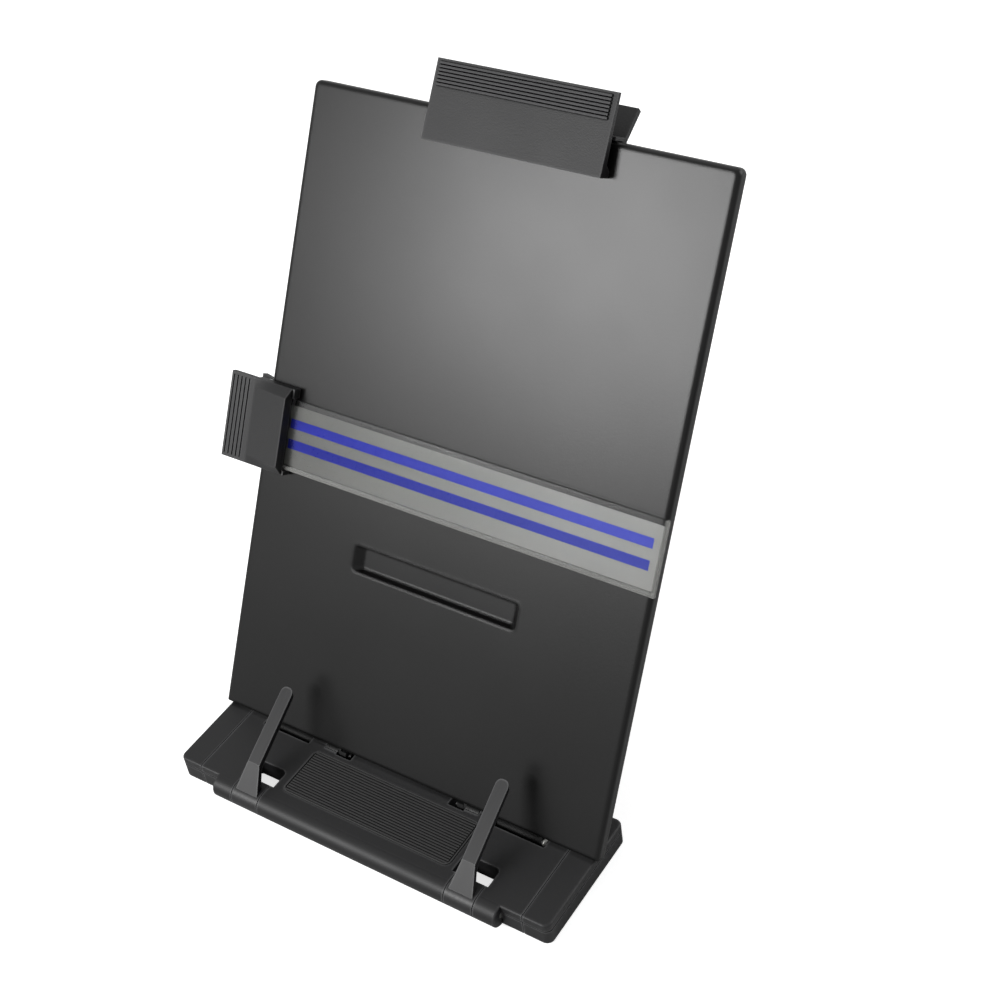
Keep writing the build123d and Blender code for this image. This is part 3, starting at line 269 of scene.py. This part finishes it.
# ------------------------------------------------------------------ panel
# Folded steel sheet with a baked black powder coat: very fine orange peel that spreads the
# front box into a pale sheen, and soft, thickly coated folds. The coat is matted, so it
# mirrors less than a clear one.
peel_mm, peel_rise = 0.9, 0.00004
patch_mm = 55.6
coat_ior = 1.29
coat, tree, place = bare("powder_coat_black")
peel = node(tree, "ShaderNodeTexNoise", Vector=place, Scale=1000 / peel_mm, Detail=3.0)
patch = node(tree, "ShaderNodeTexNoise", Vector=place, Scale=1000 / patch_mm, Detail=2.0)
tone = node(tree, "ShaderNodeMix", {"data_type": "RGBA"}, _0=peel.outputs[0],
            _6=linear("#080808"), _7=linear("#0e0e0e"))
spread = node(tree, "ShaderNodeMapRange", Value=patch.outputs[0], To_Min=0.28, To_Max=0.33)
edge = node(tree, "ShaderNodeBevel", {"samples": 8}, Radius=0.0022)
bump = node(tree, "ShaderNodeBump", Strength=0.45, Distance=peel_rise, Height=peel.outputs[0],
            Normal=edge.outputs[0])
shade = node(tree, "ShaderNodeBsdfPrincipled", Base_Color=tone.outputs[2],
             Roughness=spread.outputs[0], Normal=bump.outputs[0], IOR=coat_ior)
node(tree, "ShaderNodeOutputMaterial", Surface=shade.outputs[0])
wear(coat, "panel")

# ------------------------------------------------------------------ top clip, slider and prop
# The same ABS in a slightly paler, coarser-grained batch, pressed in moulds of their own.
clip_finish = moulded("abs_grained_charcoal", "#0f0f10", "#1b1b1c", "#323233", roughness=0.5,
                      grain_mm=0.6, grain_rise_mm=0.12, edge_mm=0.4)
wear(clip_finish, "clip_front", "clip_rear", "slider_front", "slider_rear", "prop_leg")

# ------------------------------------------------------------------ friction hinges, finger pins
# Turned and pressed steel with a black oxide finish, oily dark, seen in the slots at the
# panel's foot and in the barrel. Only the bolts' domed heads are bright, where the oxide is
# rubbed off. The sleeve carries a rolled thread.
smear_mm = 2.0
head_from, head_to = 0.0771, 0.0776
oxide, tree, place = bare("black_oxide_steel")
smear = node(tree, "ShaderNodeTexNoise", Vector=place, Scale=1000 / smear_mm, Detail=3.0)
across = node(tree, "ShaderNodeSeparateXYZ", Vector=place)
side = node(tree, "ShaderNodeMath", {"operation": "ABSOLUTE"}, _0=across.outputs[0])
lightened = node(tree, "ShaderNodeMapRange", Value=side.outputs[0], From_Min=head_from,
              From_Max=head_to)
tone = node(tree, "ShaderNodeMix", {"data_type": "RGBA"}, _0=lightened.outputs[0],
            _6=linear("#191919"), _7=linear("#8f8f8c"))
spread = node(tree, "ShaderNodeMapRange", Value=smear.outputs[0], To_Min=0.35, To_Max=0.6)
bump = node(tree, "ShaderNodeBump", Strength=0.3, Distance=0.00002, Height=smear.outputs[0])
shade = node(tree, "ShaderNodeBsdfPrincipled", Base_Color=tone.outputs[2],
             Roughness=spread.outputs[0], Metallic=0.8, Normal=bump.outputs[0])
node(tree, "ShaderNodeOutputMaterial", Surface=shade.outputs[0])
wear(oxide, "hinge_bolt_left", "hinge_bolt_right", "hinge_washers_left", "hinge_washers_right",
     "hinge_nut_left", "hinge_nut_right", "hinge_leaf_left", "hinge_leaf_right",
     "finger_pin_left", "finger_pin_right")

thread_pitch, thread_depth = 0.0007, 0.0002
threaded, tree, place = bare("black_oxide_rolled_thread")
turns = node(tree, "ShaderNodeTexWave", {"wave_type": "BANDS", "bands_direction": "X"},
             Vector=place, Scale=math.pi / 10 / thread_pitch)
# Painted shade and highlight: the thread's roots are darker and its crests paler.
tone = node(tree, "ShaderNodeMix", {"data_type": "RGBA"}, _0=turns.outputs[1],
            _6=linear("#030303"), _7=linear("#1c1c1c"))
bump = node(tree, "ShaderNodeBump", Strength=0.8, Distance=thread_depth,
            Height=turns.outputs[1])
shade = node(tree, "ShaderNodeBsdfPrincipled", Base_Color=tone.outputs[2], Roughness=0.5,
             Metallic=0.6, Normal=bump.outputs[0])
node(tree, "ShaderNodeOutputMaterial", Surface=shade.outputs[0])
wear(threaded, "hinge_sleeve_left", "hinge_sleeve_right")

# ------------------------------------------------------------------ bracket, springs and screws
# Zinc-plated steel, with the clip's rod and the slider's and prop's pins: cool grey with a
# soft sparkle of plating grain and dull patches.
spangle_mm, dull_mm = 1.5, 4.0
zinc, tree, place = bare("zinc_plated_steel")
spangle = node(tree, "ShaderNodeTexVoronoi", Vector=place, Scale=1000 / spangle_mm)
dull = node(tree, "ShaderNodeTexNoise", Vector=place, Scale=1000 / dull_mm, Detail=3.0)
tone = node(tree, "ShaderNodeMix", {"data_type": "RGBA"}, _0=dull.outputs[0],
            _6=linear("#9a9c9e"), _7=linear("#c4c6c8"))
spread = node(tree, "ShaderNodeMapRange", Value=spangle.outputs["Distance"], To_Min=0.25,
              To_Max=0.45)
shade = node(tree, "ShaderNodeBsdfPrincipled", Base_Color=tone.outputs[2],
             Roughness=spread.outputs[0], Metallic=1.0)
node(tree, "ShaderNodeOutputMaterial", Surface=shade.outputs[0])
wear(zinc, "slider_pin", "prop_pin", "prop_bracket", "cover_screws",
     "finger_spring_left", "finger_spring_right", "clip_spring", "slider_spring", "clip_pin")

# ------------------------------------------------------------------ ruler
# Cast clear acrylic with polished bevels and sawn lower and right edges. Its rear face is
# screen-printed with a translucent grey field that leaves two windows for the blue lines, so
# the panel shows only through the bevels. Heights are along the panel, from its foot.
lean = math.radians(30.3)
lean_up = Vector((0, math.sin(lean), math.cos(lean)))
lean_out = Vector((0, -math.cos(lean), math.sin(lean)))
panel_foot = Vector((0, 0.00615, 0.0148))
print_low, print_high, print_right = 0.1243, 0.1526, 0.1052
window_heights, window_half, window_right = (0.1346, 0.1442), 0.00225, 0.1016
rear_face = 0.0018
sheen_from, sheen_to = -0.09, 0.06
print_cover, frost_cover = 0.8, 0.55
smudge_mm = 22.2
acrylic_ior = 1.25
acrylic, tree, place = bare("cast_acrylic_clear")
from_foot = node(tree, "ShaderNodeVectorMath", {"operation": "SUBTRACT"}, _0=place,
                 _1=panel_foot)
up = node(tree, "ShaderNodeVectorMath", {"operation": "DOT_PRODUCT"}, _0=from_foot.outputs[0],
          _1=lean_up)
out = node(tree, "ShaderNodeVectorMath", {"operation": "DOT_PRODUCT"}, _0=from_foot.outputs[0],
           _1=lean_out)
across = node(tree, "ShaderNodeSeparateXYZ", Vector=place)

# The printed field: on the rear face, between its ends, less the two windows.
field = node(tree, "ShaderNodeMath", {"operation": "COMPARE"}, _0=up.outputs["Value"],
             _1=(print_low + print_high) / 2, _2=(print_high - print_low) / 2)
ends = node(tree, "ShaderNodeMath", {"operation": "LESS_THAN"}, _0=across.outputs[0],
            _1=print_right)
field = node(tree, "ShaderNodeMath", {"operation": "MULTIPLY"}, _0=field.outputs[0],
             _1=ends.outputs[0])
behind = node(tree, "ShaderNodeMath", {"operation": "LESS_THAN"}, _0=out.outputs["Value"],
              _1=rear_face + 0.0001)
field = node(tree, "ShaderNodeMath", {"operation": "MULTIPLY"}, _0=field.outputs[0],
             _1=behind.outputs[0])
lined = node(tree, "ShaderNodeMath", {"operation": "LESS_THAN"}, _0=across.outputs[0],
             _1=window_right)
for window_height in window_heights:
    window = node(tree, "ShaderNodeMath", {"operation": "COMPARE"}, _0=up.outputs["Value"],
                  _1=window_height, _2=window_half)
    window = node(tree, "ShaderNodeMath", {"operation": "MULTIPLY"}, _0=window.outputs[0],
                  _1=lined.outputs[0])
    field = node(tree, "ShaderNodeMath", {"operation": "SUBTRACT", "use_clamp": True},
                 _0=field.outputs[0], _1=window.outputs[0])

# Polish with faint finger smudges, rougher on the two sawn edges.
smudge = node(tree, "ShaderNodeTexNoise", Vector=place, Scale=1000 / smudge_mm, Detail=3.0)
polish = node(tree, "ShaderNodeMapRange", Value=smudge.outputs[0], To_Min=0.1, To_Max=0.16)
foot_edge = node(tree, "ShaderNodeMath", {"operation": "LESS_THAN"}, _0=up.outputs["Value"],
                 _1=print_low - 0.0002)
end_edge = node(tree, "ShaderNodeMath", {"operation": "GREATER_THAN"}, _0=across.outputs[0],
                _1=print_right + 0.0003)
sawn = node(tree, "ShaderNodeMath", {"operation": "MAXIMUM"}, _0=foot_edge.outputs[0],
            _1=end_edge.outputs[0])
polish = node(tree, "ShaderNodeMath", {"operation": "MULTIPLY_ADD"}, _0=sawn.outputs[0], _1=0.1,
              _2=polish.outputs[0])

# Clear body with a low gloss, so that no lamp's image hides the lines. Light passes straight
# through its rear face and casts no shadow. The print is painted paler towards the right, as
# painted light and sheen.
glass = node(tree, "ShaderNodeBsdfPrincipled", Base_Color=linear("#f4f6f5"),
             Roughness=polish.outputs[0], Transmission_Weight=1.0, IOR=acrylic_ior)
clear = node(tree, "ShaderNodeBsdfTransparent")
glass = node(tree, "ShaderNodeMixShader", _0=behind.outputs[0], _1=glass.outputs[0],
             _2=clear.outputs[0])
painted_sheen = node(tree, "ShaderNodeMapRange", Value=across.outputs[0], From_Min=sheen_from,
            From_Max=sheen_to)
painted_sheen = node(tree, "ShaderNodeMix", {"data_type": "RGBA"}, _0=painted_sheen.outputs[0],
            _6=linear("#525250"), _7=linear("#7b7b79"))
veil = node(tree, "ShaderNodeBsdfDiffuse", Color=painted_sheen.outputs[2])
cover = node(tree, "ShaderNodeMath", {"operation": "MULTIPLY"}, _0=field.outputs[0],
             _1=print_cover)
printed = node(tree, "ShaderNodeMixShader", _0=cover.outputs[0], _1=glass.outputs[0],
               _2=veil.outputs[0])
frost = node(tree, "ShaderNodeBsdfDiffuse", Color=linear("#7a7a78"))
cover = node(tree, "ShaderNodeMath", {"operation": "MULTIPLY"}, _0=sawn.outputs[0],
             _1=frost_cover)
printed = node(tree, "ShaderNodeMixShader", _0=cover.outputs[0], _1=printed.outputs[0],
               _2=frost.outputs[0])
path = node(tree, "ShaderNodeLightPath")
lit = node(tree, "ShaderNodeMixShader", _0=path.outputs["Is Shadow Ray"],
           _1=printed.outputs[0], _2=clear.outputs[0])
node(tree, "ShaderNodeOutputMaterial", Surface=lit.outputs[0])
wear(acrylic, "ruler")

# ------------------------------------------------------------------ guide lines
# Two strips of translucent blue film behind the ruler's windows, matt, painted a little paler
# to the right as painted light, with a fine speckle of ink that is drawn at 0.7 mm to show.
speckle_mm, speckle_share = 0.667, 0.3
film_from, film_to = -0.09, 0.1
blue_film, tree, place = bare("blue_ink_film")
across = node(tree, "ShaderNodeSeparateXYZ", Vector=place)
# Painted light towards the right, plus the ink's own speckle.
painted_sheen_and_speckle = node(tree, "ShaderNodeMapRange", Value=across.outputs[0], From_Min=film_from,
            From_Max=film_to)
dots = node(tree, "ShaderNodeTexNoise", Vector=place, Scale=1000 / speckle_mm, Detail=2.0)
painted_sheen_and_speckle = node(tree, "ShaderNodeMath", {"operation": "MULTIPLY_ADD"}, _0=dots.outputs[0],
            _1=speckle_share, _2=painted_sheen_and_speckle.outputs[0])
tone = node(tree, "ShaderNodeMix", {"data_type": "RGBA"}, _0=painted_sheen_and_speckle.outputs[0],
            _6=linear("#10146a"), _7=linear("#343a86"))
shade = node(tree, "ShaderNodeBsdfPrincipled", Base_Color=tone.outputs[2], Roughness=0.6,
             Specular_IOR_Level=0.0)
node(tree, "ShaderNodeOutputMaterial", Surface=shade.outputs[0])
wear(blue_film, "guide_stripes")
